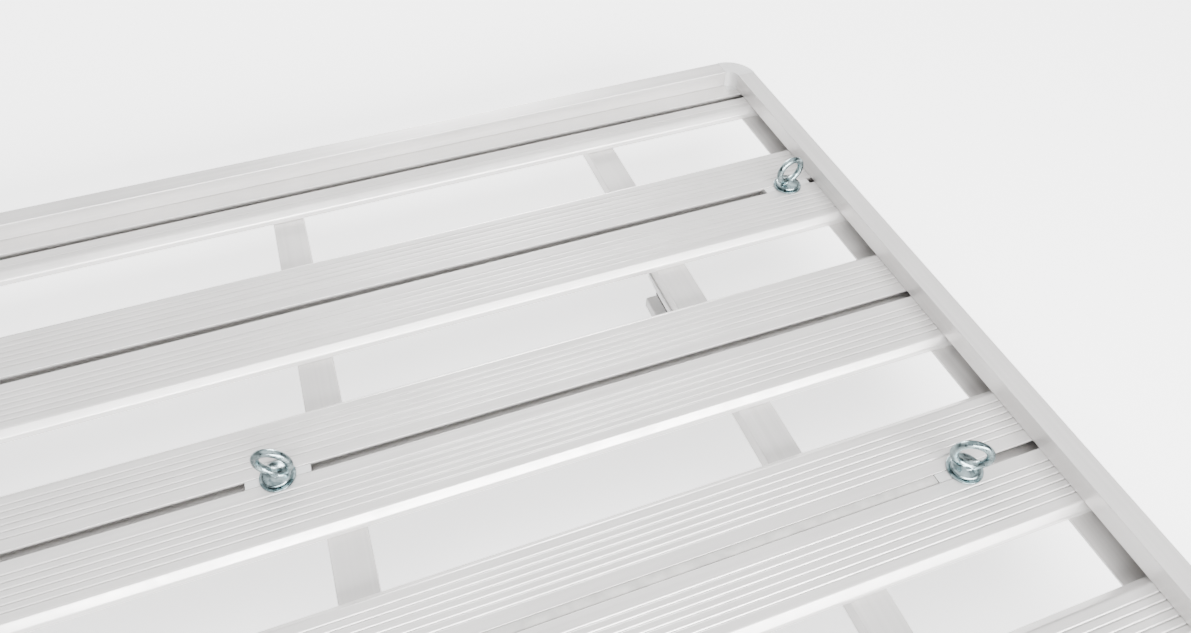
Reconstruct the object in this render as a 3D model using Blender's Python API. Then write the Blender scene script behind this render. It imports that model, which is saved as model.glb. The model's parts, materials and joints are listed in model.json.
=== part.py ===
"""Slatted aluminium roof tray for a vehicle, with tie-down eyes and crossbar clamps.

Metres, +Z up.  X runs across the vehicle, along the planks.  Y runs along the
vehicle.  The origin is under the middle of the tray, level with the undersides
of the crossbar clamps.  "front" is the -Y end and "left" is the -X side.
"""
import math

import bmesh
import bpy
from mathutils import Matrix, Vector

# ---- driving dimensions ----------------------------------------------------
DECK_Z = 0.102              # top face of the planks
INNER_HALF_X = 0.699        # middle of the tray to a side rail's inner face
INNER_HALF_Y = 0.8127       # middle of the tray to an end rail's inner face
GAP = 0.0003                # clearance between pieces that touch

PLANK_COUNT = 6
PLANK_PITCH = 0.227
PLANK_HALF = 0.077          # slot centre to the side of a full plank
PLANK_DEPTH = 0.016
PLANK_SKIN = 0.0024
PLANK_OUTER_SKIN = 0.0022   # outboard of the rib
PLANK_TUCK = 0.018          # how far a plank reaches under the rail
TONGUE_DROP = 0.0004        # step down of a plank's ends under the rail
NOSE_RUN = 0.008            # chamfer along a plank's long edges
NOSE_DROP = 0.0085
LIP = 0.010                 # return lip under the nose
RIB_AT = 0.042              # stiffening rib under the skin

END_PLANK_Y = 0.780         # slot centre of the narrow plank at each end
END_PLANK_HALF = 0.0368

GROOVE_FIRST = 0.020        # slot centre to the first groove
GROOVE_PITCH = 0.0078
GROOVE_COUNT = 6
GROOVE_HALF = 0.0009
GROOVE_DEPTH = 0.0010

SLOT_HALF = 0.0054          # mouth of the T-slot
SLOT_NECK = 0.0030
SLOT_CAVITY_HALF = 0.0095
SLOT_FLOOR_Z = -0.013
SLOT_WALL = 0.0022

RAIL_WIDTH = 0.027
RAIL_RISE = 0.025           # rail top above the planks
RAIL_WALL = 0.0022
RAIL_EDGE = 0.001
FLANGE = 0.015              # lower flange, inboard of the rail's inner face
FLANGE_THICK = 0.0025

BEARER_X = 0.4515           # outer bearers; the third is on the middle line
BEARER_WIDTH = 0.040
BEARER_DEPTH = 0.020
BEARER_WALL = 0.0025
BEARER_MOUTH_HALF = 0.007
BEARER_HALF_LENGTH = 0.790
CAP_THICK = 0.003
CAP_PLUG = 0.012

TIE_DOWNS = {               # name: (x, plank number, turn of the ring about Z in degrees)
    "left": (-0.055, 5, -22.0),
    "right": (0.610, 4, -35.0),
    "rear": (0.659, 6, 10.0),
}
NUT_HALF_LENGTH = 0.033
NUT_SIDE_CLEARANCE = 0.0003
WASHER_RADIUS = 0.0185
WASHER_THICK = 0.0020
COLLAR_RADIUS = 0.0158
COLLAR_HEIGHT = 0.0055
STEM_RADIUS = 0.0042
RING_MAJOR = 0.01725
RING_BAR = 0.00425
RING_CENTRE_Z = 0.0265      # above the planks
INFILL_PLANK = 4
INFILL_THICK = 0.0028

FOOT_Y = 0.450              # crossbar centres
FOOT_BOLT_Y = 0.045         # clamp bolts, either side of the crossbar
FOOT_HALF_LENGTH = 0.060
FOOT_WIDTH = 0.044
SADDLE_THICK = 0.010
SADDLE_TOE = 0.0064
PAD_THICK = 0.003
PAD_HALF_LENGTH = 0.034
CROSSBAR_GAP = 0.036
CLAMP_WEB = 0.004
CLAMP_WALL = 0.003
BOLT_RADIUS = 0.004
BOLT_HOLE = 0.0046
BOLT_TIP_Z = 0.003
SLIDE_WIDTH = 0.026         # plate inside the bearer that carries the clamp bolts
SLIDE_THICK = 0.004
NUT_BAR_WIDTH = 0.014
NUT_BAR_THICK = 0.006
BAR_OVERHANG = 0.010        # past each bolt, on the slide plate and the nut bar

STUD_RADIUS = 0.0030         # studs that hold the planks on the bearers
STUD_HOLE = 0.0035
STUD_SIDES = 8
STRIP_WIDTH = 0.016
STRIP_THICK = 0.003

FLANGE_TOP_Z = DECK_Z - PLANK_DEPTH - GAP
RAIL_BOTTOM_Z = FLANGE_TOP_Z - FLANGE_THICK
RAIL_TOP_Z = DECK_Z + RAIL_RISE
CORNER_RADIUS = RAIL_WIDTH + FLANGE
RAIL_END_X = INNER_HALF_X - FLANGE          # where the end rails meet the corners
RAIL_END_Y = INNER_HALF_Y - FLANGE          # where the side rails meet the corners
SPIGOT_LENGTH = 0.040
SPIGOT_CLEARANCE = 0.0004
BEARER_TOP_Z = FLANGE_TOP_Z
BEARER_BOTTOM_Z = BEARER_TOP_Z - BEARER_DEPTH
CLAMP_HEIGHT = (BEARER_BOTTOM_Z - GAP - SADDLE_THICK - GAP - PAD_THICK - CROSSBAR_GAP)

ALONG_X = Matrix.Rotation(math.radians(90), 4, "Z") @ Matrix.Rotation(math.radians(90), 4, "X")
ALONG_Y = Matrix.Rotation(math.radians(90), 4, "X")
ALONG_Z = Matrix.Identity(4)

SIDES = {"left": -1, "right": 1}
ENDS = {"front": -1, "rear": 1}

# ---- scene set-up and materials --------------------------------------------


def clear_scene():
    for thing in list(bpy.data.objects):
        bpy.data.objects.remove(thing, do_unlink=True)


def collection(name):
    group = bpy.data.collections.new(name)
    bpy.context.scene.collection.children.link(group)
    return group


def material(name, colour, roughness, metallic):
    """A Principled material, made once and used again."""
    found = bpy.data.materials.get(name)
    if found:
        return found
    made = bpy.data.materials.new(name)
    made.use_nodes = True
    made.diffuse_color = (*colour, 1.0)
    shader = made.node_tree.nodes["Principled BSDF"]
    shader.inputs["Base Color"].default_value = (*colour, 1.0)
    shader.inputs["Roughness"].default_value = roughness
    shader.inputs["Metallic"].default_value = metallic
    return made


def satin_aluminium():
    return material("satin_aluminium", (0.80, 0.80, 0.81), 0.38, 0.9)


def cast_aluminium():
    return material("cast_aluminium", (0.70, 0.70, 0.71), 0.5, 0.9)


def zinc_plate():
    return material("zinc_plate", (0.55, 0.62, 0.64), 0.3, 1.0)


def stainless():
    return material("stainless", (0.62, 0.62, 0.63), 0.28, 1.0)


def black_plastic():
    return material("black_plastic", (0.03, 0.03, 0.03), 0.6, 0.0)


def black_rubber():
    return material("black_rubber", (0.02, 0.02, 0.02), 0.8, 0.0)


def grey_infill():
    return material("grey_infill", (0.58, 0.58, 0.56), 0.6, 0.0)


# ---- modelling helpers ------------------------------------------------------


def finish(shape, finish_material):
    """Give a shape its material and, on a mesh, smooth round sides with crisp edges."""
    shape.data.materials.clear()
    shape.data.materials.append(finish_material)
    if shape.type == "MESH":
        shape.data.shade_smooth()
        shape.data.set_sharp_from_angle(angle=math.radians(35))
    return shape


def outline_curve(name, outlines, length, frame, group):
    """Fill a flat outline, holes included, and extrude it half each way."""
    curve = bpy.data.curves.new(name, "CURVE")
    curve.dimensions = "2D"
    curve.fill_mode = "BOTH"
    curve.extrude = length / 2
    for outline in outlines:
        spline = curve.splines.new("POLY")
        spline.points.add(len(outline) - 1)
        for point, (across, up) in zip(spline.points, outline):
            point.co = (across, up, 0.0, 1.0)
        spline.use_cyclic_u = True
    shape = bpy.data.objects.new(name, curve)
    shape.matrix_world = frame
    group.objects.link(shape)
    return shape


def solid_from_curve(shape):
    """Turn a filled curve into a welded mesh object of the same name and place."""
    bpy.context.view_layer.update()
    evaluated = shape.evaluated_get(bpy.context.evaluated_depsgraph_get())
    mesh = bpy.data.meshes.new_from_object(evaluated)
    work = bmesh.new()
    work.from_mesh(mesh)
    bmesh.ops.remove_doubles(work, verts=work.verts, dist=0.00001)
    bmesh.ops.recalc_face_normals(work, faces=work.faces)
    work.to_mesh(mesh)
    work.free()
    name = shape.name
    group = shape.users_collection[0]
    place = shape.matrix_world.copy()
    bpy.data.objects.remove(shape, do_unlink=True)
    solid = bpy.data.objects.new(name, mesh)
    solid.matrix_world = place
    group.objects.link(solid)
    return solid


def extrusion(name, outlines, length, frame, group):
    return solid_from_curve(outline_curve(name, outlines, length, frame, group))


def from_bmesh(name, work, group, place=(0.0, 0.0, 0.0)):
    mesh = bpy.data.meshes.new(name)
    work.to_mesh(mesh)
    work.free()
    shape = bpy.data.objects.new(name, mesh)
    shape.location = place
    group.objects.link(shape)
    return shape


def add_box(work, low, high):
    low = Vector(low)
    high = Vector(high)
    size = Matrix.Diagonal((*(high - low), 1.0))
    bmesh.ops.create_cube(work, size=1.0, matrix=Matrix.Translation((low + high) / 2) @ size)


def add_cylinder(work, centre, radius, low, high, sides, axis="Z", radius_high=None):
    """A capped cylinder or cone whose ends are at low and high along the axis."""
    turn = {
        "Z": Matrix.Identity(4),
        "X": Matrix.Rotation(math.radians(90), 4, "Y"),
        "Y": Matrix.Rotation(math.radians(-90), 4, "X"),
    }[axis]
    middle = Vector(centre)
    middle["XYZ".index(axis)] = (low + high) / 2
    bmesh.ops.create_cone(
        work, cap_ends=True, segments=sides, radius1=radius,
        radius2=radius if radius_high is None else radius_high,
        depth=high - low, matrix=Matrix.Translation(middle) @ turn)


def cut(target, cutter, operation="DIFFERENCE"):
    """Apply a Boolean, and keep the cutter as a hidden guide."""
    change = target.modifiers.new(operation.lower(), "BOOLEAN")
    change.operation = operation
    change.solver = "EXACT"
    change.object = cutter
    bpy.context.view_layer.update()
    evaluated = target.evaluated_get(bpy.context.evaluated_depsgraph_get())
    mesh = bpy.data.meshes.new_from_object(evaluated)
    target.modifiers.clear()
    target.data = mesh
    cutter.hide_render = True
    cutter.display_type = "WIRE"
    return target


def cylinder_cutter(name, holes, radius, low, high, cutters, axis="Z"):
    work = bmesh.new()
    for centre in holes:
        add_cylinder(work, centre, radius, low, high, STUD_SIDES, axis)
    return from_bmesh(name, work, cutters)


def polygon(radius, sides, start=0.0):
    step = 2 * math.pi / sides
    return [(radius * math.cos(start + step * i), radius * math.sin(start + step * i))
            for i in range(sides)]


def arc(centre, radius, first, last, steps):
    """Points on an arc, angles in degrees, both ends included."""
    points = []
    for i in range(steps + 1):
        angle = math.radians(first + (last - first) * i / steps)
        points.append((centre[0] + radius * math.cos(angle),
                       centre[1] + radius * math.sin(angle)))
    return points


# ---- plank sections -----------------------------------------------------------


def groove_points(count):
    points = []
    for i in range(count):
        middle = GROOVE_FIRST + GROOVE_PITCH * i
        points += [(middle - GROOVE_HALF, 0.0), (middle, -GROOVE_DEPTH), (middle + GROOVE_HALF, 0.0)]
    return points


def nose_side(half, grooves, ribbed):
    """Half a plank's section from the slot mouth out over the nose and back under the skin."""
    slope = NOSE_RUN + PLANK_OUTER_SKIN / 2
    wall = half - SLOT_WALL
    channel = SLOT_CAVITY_HALF + SLOT_WALL
    points = [(SLOT_HALF, 0.0)] + groove_points(grooves)
    points += [
        (half - NOSE_RUN, 0.0),
        (half, -NOSE_DROP),
        (half, -PLANK_DEPTH),
        (half - LIP, -PLANK_DEPTH),
        (half - LIP, -PLANK_DEPTH + SLOT_WALL),
        (wall, -PLANK_DEPTH + SLOT_WALL),
        (wall, -NOSE_DROP - PLANK_OUTER_SKIN / 2),
        (half - slope, -PLANK_OUTER_SKIN),
    ]
    if ribbed:
        rib = SLOT_WALL / 2
        points += [(RIB_AT + rib, -PLANK_OUTER_SKIN), (RIB_AT + rib, -PLANK_DEPTH),
                   (RIB_AT - rib, -PLANK_DEPTH), (RIB_AT - rib, -PLANK_SKIN)]
    return points + [(channel, -PLANK_SKIN), (channel, -PLANK_DEPTH)]


def tucked_side():
    """The half of an end plank that runs under the end rail, with a square edge."""
    channel = SLOT_CAVITY_HALF + SLOT_WALL
    edge = INNER_HALF_Y - END_PLANK_Y + PLANK_TUCK
    return [
        (SLOT_HALF, 0.0), (edge, 0.0), (edge, -PLANK_DEPTH),
        (edge - SLOT_WALL, -PLANK_DEPTH), (edge - SLOT_WALL, -PLANK_SKIN),
        (channel, -PLANK_SKIN), (channel, -PLANK_DEPTH),
    ]


def plank_section(right, left):
    """Close two half sections round the T-slot into one outline."""
    slot = [(SLOT_HALF, -SLOT_NECK), (SLOT_CAVITY_HALF, -SLOT_NECK),
            (SLOT_CAVITY_HALF, SLOT_FLOOR_Z)]
    mirrored = [(-across, up) for across, up in reversed(left)]
    walls = [(-across, up) for across, up in slot] + list(reversed(slot))
    return right + mirrored + walls


def plank_y(number):
    return (number - (PLANK_COUNT + 1) / 2) * PLANK_PITCH


def bearer_places():
    return {"left": -BEARER_X, "middle": 0.0, "right": BEARER_X}


def slot_lines():
    """Y of every T-slot, end planks included."""
    return [-END_PLANK_Y] + [plank_y(n) for n in range(1, PLANK_COUNT + 1)] + [END_PLANK_Y]


def drill_plank(plank, y, cutters):
    """Clear the stud holes in the floor of the T-slot."""
    holes = [(x, y, 0.0) for x in bearer_places().values()]
    floor = DECK_Z + SLOT_FLOOR_Z
    cutter = cylinder_cutter(plank.name + "_holes", holes, STUD_HOLE,
                             floor - 0.006, floor + 0.002, cutters)
    return cut(plank, cutter)


def lower_tongues(plank, y, cutters):
    """Step the two ends down a little where they run on under the side rails."""
    work = bmesh.new()
    for side in SIDES.values():
        xs = sorted((side * (INNER_HALF_X - GAP), side * (INNER_HALF_X + RAIL_WIDTH)))
        add_box(work, (xs[0], y - PLANK_PITCH / 2, DECK_Z - TONGUE_DROP),
                (xs[1], y + PLANK_PITCH / 2, RAIL_TOP_Z))
    return cut(plank, from_bmesh(plank.name + "_tongues", work, cutters))


def plank_frame(y):
    return Matrix.Translation((0.0, y, DECK_Z)) @ ALONG_X


def make_planks(group, cutters):
    half = nose_side(PLANK_HALF, GROOVE_COUNT, True)
    length = 2 * (INNER_HALF_X + PLANK_TUCK)
    for number in range(1, PLANK_COUNT + 1):
        y = plank_y(number)
        plank = extrusion("plank_%d" % number, [plank_section(half, half)], length,
                          plank_frame(y), group)
        drill_plank(plank, y, cutters)
        finish(lower_tongues(plank, y, cutters), satin_aluminium())


def make_end_planks(group, cutters):
    inner = nose_side(END_PLANK_HALF, 1, False)
    outer = tucked_side()
    length = 2 * (INNER_HALF_X + PLANK_TUCK)
    for end, sign in ENDS.items():
        sides = (outer, inner) if sign > 0 else (inner, outer)
        y = sign * END_PLANK_Y
        plank = extrusion("end_plank_" + end, [plank_section(*sides)], length,
                          plank_frame(y), group)
        drill_plank(plank, y, cutters)
        lower_tongues(plank, y, cutters)
        work = bmesh.new()
        for side in SIDES.values():
            ys = sorted((sign * (RAIL_END_Y - GAP), sign * (INNER_HALF_Y + RAIL_WIDTH)))
            xs = sorted((side * (RAIL_END_X - GAP), side * (INNER_HALF_X + RAIL_WIDTH)))
            add_box(work, (xs[0], ys[0], RAIL_BOTTOM_Z), (xs[1], ys[1], RAIL_TOP_Z))
        corner_cutter = from_bmesh(plank.name + "_corners", work, cutters)
        finish(cut(plank, corner_cutter), satin_aluminium())


# ---- perimeter rails and corners ------------------------------------------------


def rail_section():
    """Outline and hollow of the rail; across runs outward from its inner face."""
    width = RAIL_WIDTH
    under = DECK_Z + GAP
    outer = [
        (0.0, under), (0.0, RAIL_TOP_Z - RAIL_EDGE), (RAIL_EDGE, RAIL_TOP_Z),
        (width - RAIL_EDGE, RAIL_TOP_Z), (width, RAIL_TOP_Z - RAIL_EDGE),
        (width, RAIL_BOTTOM_Z), (-FLANGE, RAIL_BOTTOM_Z), (-FLANGE, FLANGE_TOP_Z),
        (width - RAIL_WALL, FLANGE_TOP_Z), (width - RAIL_WALL, under),
    ]
    low = under + RAIL_WALL
    high = RAIL_TOP_Z - RAIL_WALL
    hollow = [(RAIL_WALL, low), (width - RAIL_WALL, low),
              (width - RAIL_WALL, high), (RAIL_WALL, high)]
    return outer, hollow


def mirrored_outline(outline):
    return [(-across, up) for across, up in outline]


def spigot_z():
    low = DECK_Z + GAP + RAIL_WALL + SPIGOT_CLEARANCE
    high = RAIL_TOP_Z - RAIL_WALL - SPIGOT_CLEARANCE
    return low, high


def make_side_rails(group):
    outer, hollow = rail_section()
    length = 2 * (RAIL_END_Y - GAP)
    for side, sign in SIDES.items():
        outlines = [outer, hollow]
        if sign < 0:
            outlines = [mirrored_outline(line) for line in outlines]
        frame = Matrix.Translation((sign * INNER_HALF_X, 0.0, 0.0)) @ ALONG_Y
        rail = extrusion("side_rail_" + side, outlines, length, frame, group)
        finish(rail, satin_aluminium())


def make_end_rails(group):
    outer, hollow = rail_section()
    length = 2 * (RAIL_END_X - GAP)
    for end, sign in ENDS.items():
        outlines = [outer, hollow]
        if sign < 0:
            outlines = [mirrored_outline(line) for line in outlines]
        frame = Matrix.Translation((0.0, sign * INNER_HALF_Y, 0.0)) @ ALONG_X
        rail = extrusion("end_rail_" + end, outlines, length, frame, group)
        finish(rail, satin_aluminium())


def make_corners(group, cutters):
    """Cast corners: a quarter-round rail above, a solid toe below and two spigots."""
    outer_x = INNER_HALF_X + RAIL_WIDTH
    outer_y = INNER_HALF_Y + RAIL_WIDTH
    toe_top = DECK_Z
    low, high = spigot_z()
    inset = RAIL_WALL + SPIGOT_CLEARANCE
    for end, sign_y in ENDS.items():
        for side, sign_x in SIDES.items():
            flip = Matrix.Diagonal((sign_x, sign_y, 1.0, 1.0))
            start = (outer_x - CORNER_RADIUS, outer_y - CORNER_RADIUS)
            quarter = arc(start, CORNER_RADIUS, 0.0, 90.0, 8)
            inner = arc(start, CORNER_RADIUS - RAIL_WIDTH, 90.0, 0.0, 6)
            name = "corner_%s_%s" % (end, side)
            rise = RAIL_TOP_Z - toe_top
            frame = Matrix.Translation((0.0, 0.0, toe_top + rise / 2)) @ ALONG_Z
            corner = extrusion(name, [quarter + inner], rise, frame, group)
            drop = toe_top - RAIL_BOTTOM_Z + 0.001
            frame = Matrix.Translation((0.0, 0.0, RAIL_BOTTOM_Z + drop / 2)) @ ALONG_Z
            toe = extrusion(name + "_toe", [quarter + [start]], drop, frame, cutters)
            cut(corner, toe, "UNION")
            work = bmesh.new()
            add_box(work, (INNER_HALF_X + inset, start[1] - SPIGOT_LENGTH, low),
                    (outer_x - inset, start[1] + 0.004, high))
            add_box(work, (start[0] - SPIGOT_LENGTH, INNER_HALF_Y + inset, low),
                    (start[0] + 0.004, outer_y - inset, high))
            cut(corner, from_bmesh(name + "_spigots", work, cutters), "UNION")
            corner.data.transform(Matrix.Translation(corner.location))
            corner.matrix_world = Matrix.Identity(4)
            corner.data.transform(flip)
            if sign_x * sign_y < 0:
                corner.data.flip_normals()
            finish(corner, cast_aluminium())


# ---- bearers --------------------------------------------------------------------


def bearer_section():
    half = BEARER_WIDTH / 2
    mouth = BEARER_MOUTH_HALF
    wall = BEARER_WALL
    top = BEARER_TOP_Z
    bottom = BEARER_BOTTOM_Z
    right = [(half, top), (half, bottom), (mouth, bottom), (mouth, bottom + wall),
             (half - wall, bottom + wall), (half - wall, top - wall)]
    return right + [(-across, up) for across, up in reversed(right)]


def make_bearers(group, cutters):
    for name, x in bearer_places().items():
        frame = Matrix.Translation((x, 0.0, 0.0)) @ ALONG_Y
        bearer = extrusion("bearer_" + name, [bearer_section()], 2 * BEARER_HALF_LENGTH,
                           frame, group)
        holes = [(x, y, 0.0) for y in slot_lines()]
        cutter = cylinder_cutter(bearer.name + "_holes", holes, STUD_HOLE,
                                 BEARER_TOP_Z - 0.005, BEARER_TOP_Z + 0.002, cutters)
        finish(cut(bearer, cutter), satin_aluminium())
        make_bearer_caps(name, x, group, cutters)


def make_bearer_caps(name, x, group, cutters):
    """A moulded plate with a plug that pushes into the bearer's open end."""
    half = BEARER_WIDTH / 2
    inside = half - BEARER_WALL - GAP
    for end, sign in ENDS.items():
        ys = sorted((sign * (BEARER_HALF_LENGTH + GAP),
                     sign * (BEARER_HALF_LENGTH + GAP + CAP_THICK)))
        work = bmesh.new()
        add_box(work, (x - half, ys[0], BEARER_BOTTOM_Z), (x + half, ys[1], BEARER_TOP_Z))
        cap = from_bmesh("bearer_cap_%s_%s" % (end, name), work, group)
        ys = sorted((sign * (BEARER_HALF_LENGTH + 0.001),
                     sign * (BEARER_HALF_LENGTH - CAP_PLUG)))
        plug = bmesh.new()
        add_box(plug, (x - inside, ys[0], BEARER_BOTTOM_Z + BEARER_WALL + GAP),
                (x + inside, ys[1], BEARER_BOTTOM_Z + BEARER_DEPTH / 2 - GAP))
        cut(cap, from_bmesh(cap.name + "_plug", plug, cutters), "UNION")
        finish(cap, black_plastic())


# ---- stud strips --------------------------------------------------------------------


def make_stud_strips(group, cutters):
    """A strip inside each bearer whose studs go up into the floors of the T-slots."""
    top = BEARER_TOP_Z - BEARER_WALL - GAP
    tip = DECK_Z + SLOT_FLOOR_Z - GAP
    half_length = BEARER_HALF_LENGTH - CAP_PLUG - GAP
    for name, x in bearer_places().items():
        strip = bmesh.new()
        add_box(strip, (x - STRIP_WIDTH / 2, -half_length, top - STRIP_THICK),
                (x + STRIP_WIDTH / 2, half_length, top))
        made = from_bmesh("stud_strip_" + name, strip, group)
        studs = bmesh.new()
        for y in slot_lines():
            add_cylinder(studs, (x, y, 0.0), STUD_RADIUS, top - STRIP_THICK / 2, tip, STUD_SIDES)
        cut(made, from_bmesh(made.name + "_studs", studs, cutters), "UNION")
        finish(made, stainless())


# ---- tie-down eyes ------------------------------------------------------------------


def nut_section():
    neck = SLOT_HALF - NUT_SIDE_CLEARANCE
    body = SLOT_CAVITY_HALF - NUT_SIDE_CLEARANCE
    top = -0.0005
    shoulder = -SLOT_NECK - GAP
    bottom = SLOT_FLOOR_Z + GAP
    right = [(neck, top), (neck, shoulder), (body, shoulder), (body, bottom)]
    return right + [(-across, up) for across, up in reversed(right)]


def make_channel_nut(name, x, y, group, cutters):
    frame = Matrix.Translation((x, y, DECK_Z)) @ ALONG_X
    nut = extrusion("channel_nut_" + name, [nut_section()], 2 * NUT_HALF_LENGTH, frame, group)
    work = bmesh.new()
    add_cylinder(work, (x, y, 0.0), STEM_RADIUS + 0.0004, DECK_Z - 0.020, DECK_Z + 0.002, 12)
    cut(nut, from_bmesh(nut.name + "_bore", work, cutters))
    return finish(nut, cast_aluminium())


def make_washer(name, x, y, group):
    """The flat washer that bridges the mouth of the T-slot."""
    outlines = [polygon(WASHER_RADIUS, 28), polygon(STEM_RADIUS + 0.0006, 12)]
    frame = Matrix.Translation((x, y, DECK_Z + GAP + WASHER_THICK / 2)) @ ALONG_Z
    return finish(extrusion("eye_washer_" + name, outlines, WASHER_THICK, frame, group),
                  zinc_plate())


def make_eye_bolt(name, x, y, turn, group, cutters):
    """A forged ring on a round collar, with the threaded stem below."""
    seat = GAP + WASHER_THICK + GAP
    collar = bmesh.new()
    add_cylinder(collar, (0.0, 0.0, 0.0), COLLAR_RADIUS, seat, seat + COLLAR_HEIGHT, 24,
                 radius_high=COLLAR_RADIUS * 0.72)
    eye = from_bmesh("eye_bolt_" + name, collar, group, (x, y, DECK_Z))
    eye.rotation_euler = (0.0, 0.0, math.radians(turn))
    stem = bmesh.new()
    add_cylinder(stem, (0.0, 0.0, 0.0), STEM_RADIUS, -0.0115, seat + 0.002, 12)
    stem_object = from_bmesh(eye.name + "_stem", stem, cutters, eye.location)
    stem_object.rotation_euler = eye.rotation_euler
    bpy.ops.mesh.primitive_torus_add(
        major_segments=24, minor_segments=10, major_radius=RING_MAJOR, minor_radius=RING_BAR)
    ring = bpy.context.active_object
    ring.name = eye.name + "_ring"
    ring.data.transform(Matrix.Rotation(math.radians(90), 4, "X"))
    ring.data.transform(Matrix.Translation((0.0, 0.0, RING_CENTRE_Z)))
    ring.location = eye.location
    ring.rotation_euler = eye.rotation_euler
    for owner in list(ring.users_collection):
        owner.objects.unlink(ring)
    cutters.objects.link(ring)
    cut(eye, stem_object, "UNION")
    cut(eye, ring, "UNION")
    return finish(eye, zinc_plate())


def make_tie_downs(group, cutters):
    for name, (x, plank, turn) in TIE_DOWNS.items():
        y = plank_y(plank)
        make_channel_nut(name, x, y, group, cutters)
        make_washer(name, x, y, group)
        make_eye_bolt(name, x, y, turn, group, cutters)


def make_slot_infill(group):
    """A grey strip that fills one T-slot's mouth from the left rail to the channel nut."""
    stop = TIE_DOWNS["right"][0] - NUT_HALF_LENGTH - 0.001
    start = -INNER_HALF_X
    half = SLOT_HALF - NUT_SIDE_CLEARANCE
    outline = [(half, -0.0006), (half, -INFILL_THICK), (-half, -INFILL_THICK), (-half, -0.0006)]
    middle = Matrix.Translation(((start + stop) / 2, plank_y(INFILL_PLANK), DECK_Z))
    strip = extrusion("slot_infill", [outline], stop - start, middle @ ALONG_X, group)
    return finish(strip, grey_infill())


# ---- crossbar clamps --------------------------------------------------------------


def bolt_places(x, y):
    return [(x, y - FOOT_BOLT_Y, 0.0), (x, y + FOOT_BOLT_Y, 0.0)]


def drill_bolts(target, x, y, low, high, cutters):
    work = bmesh.new()
    for centre in bolt_places(x, y):
        add_cylinder(work, centre, BOLT_HOLE, low, high, 12)
    return cut(target, from_bmesh(target.name + "_holes", work, cutters))


def make_saddle(tag, x, y, group, cutters):
    """The block between bearer and crossbar, thinner at its toes."""
    top = BEARER_BOTTOM_Z - GAP
    bottom = top - SADDLE_THICK
    toe = top - SADDLE_TOE
    half = FOOT_HALF_LENGTH
    flat = PAD_HALF_LENGTH
    outline = [(-half, top), (half, top), (half, toe), (flat, bottom), (-flat, bottom), (-half, toe)]
    outline.reverse()
    frame = Matrix.Translation((x, y, 0.0)) @ ALONG_X
    saddle = extrusion("saddle_" + tag, [outline], FOOT_WIDTH, frame, group)
    drill_bolts(saddle, x, y, bottom - 0.002, top + 0.002, cutters)
    return finish(saddle, cast_aluminium())


def make_pad(tag, x, y, group):
    top = BEARER_BOTTOM_Z - GAP - SADDLE_THICK - GAP
    work = bmesh.new()
    add_box(work, (x - FOOT_WIDTH / 2, y - PAD_HALF_LENGTH + 0.001, top - PAD_THICK),
            (x + FOOT_WIDTH / 2, y + PAD_HALF_LENGTH - 0.001, top))
    return finish(from_bmesh("saddle_pad_" + tag, work, group), black_rubber())


def make_clamp_bolts(tag, x, y, group, cutters):
    """A plate that slides in the bearer, with two bolts down past the crossbar."""
    low = BEARER_BOTTOM_Z + BEARER_WALL + GAP
    half_length = FOOT_BOLT_Y + BAR_OVERHANG
    plate = bmesh.new()
    add_box(plate, (x - SLIDE_WIDTH / 2, y - half_length, low),
            (x + SLIDE_WIDTH / 2, y + half_length, low + SLIDE_THICK))
    bolts = from_bmesh("clamp_bolts_" + tag, plate, group)
    shanks = bmesh.new()
    for centre in bolt_places(x, y):
        add_cylinder(shanks, centre, BOLT_RADIUS, BOLT_TIP_Z, low + SLIDE_THICK / 2, 12)
    cut(bolts, from_bmesh(bolts.name + "_shanks", shanks, cutters), "UNION")
    return finish(bolts, stainless())


def make_clamp_plate(tag, x, y, group, cutters):
    """The channel that closes under the crossbar; its edges are the tray's feet."""
    half = FOOT_WIDTH / 2
    top = CLAMP_HEIGHT
    web = top - CLAMP_WEB
    outline = [(-half, 0.0), (-half + CLAMP_WALL, 0.0), (-half + CLAMP_WALL, web),
               (half - CLAMP_WALL, web), (half - CLAMP_WALL, 0.0), (half, 0.0),
               (half, top), (-half, top)]
    frame = Matrix.Translation((x, y, 0.0)) @ ALONG_Y
    plate = extrusion("clamp_plate_" + tag, [outline], 2 * FOOT_HALF_LENGTH, frame, group)
    drill_bolts(plate, x, y, web - 0.002, top + 0.002, cutters)
    return finish(plate, cast_aluminium())


def make_nut_bar(tag, x, y, group, cutters):
    """The tapped bar under a clamp plate that both bolts screw into."""
    high = CLAMP_HEIGHT - CLAMP_WEB - GAP
    half_length = FOOT_BOLT_Y + BAR_OVERHANG
    bar = bmesh.new()
    add_box(bar, (x - NUT_BAR_WIDTH / 2, y - half_length, high - NUT_BAR_THICK),
            (x + NUT_BAR_WIDTH / 2, y + half_length, high))
    made = from_bmesh("nut_bar_" + tag, bar, group)
    drill_bolts(made, x, y, high - NUT_BAR_THICK - 0.002, high + 0.002, cutters)
    return finish(made, stainless())


def make_feet(group, cutters):
    for end, sign_y in ENDS.items():
        for side, sign_x in SIDES.items():
            tag = "%s_%s" % (end, side)
            x = sign_x * BEARER_X
            y = sign_y * FOOT_Y
            make_saddle(tag, x, y, group, cutters)
            make_pad(tag, x, y, group)
            make_clamp_bolts(tag, x, y, group, cutters)
            make_clamp_plate(tag, x, y, group, cutters)
            make_nut_bar(tag, x, y, group, cutters)


def main():
    clear_scene()
    group = collection("roof_tray")
    cutters = collection("cutters")
    make_side_rails(group)
    make_end_rails(group)
    make_corners(group, cutters)
    make_planks(group, cutters)
    make_end_planks(group, cutters)
    make_slot_infill(group)
    make_bearers(group, cutters)
    make_stud_strips(group, cutters)
    make_tie_downs(group, cutters)
    make_feet(group, cutters)


main()
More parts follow.
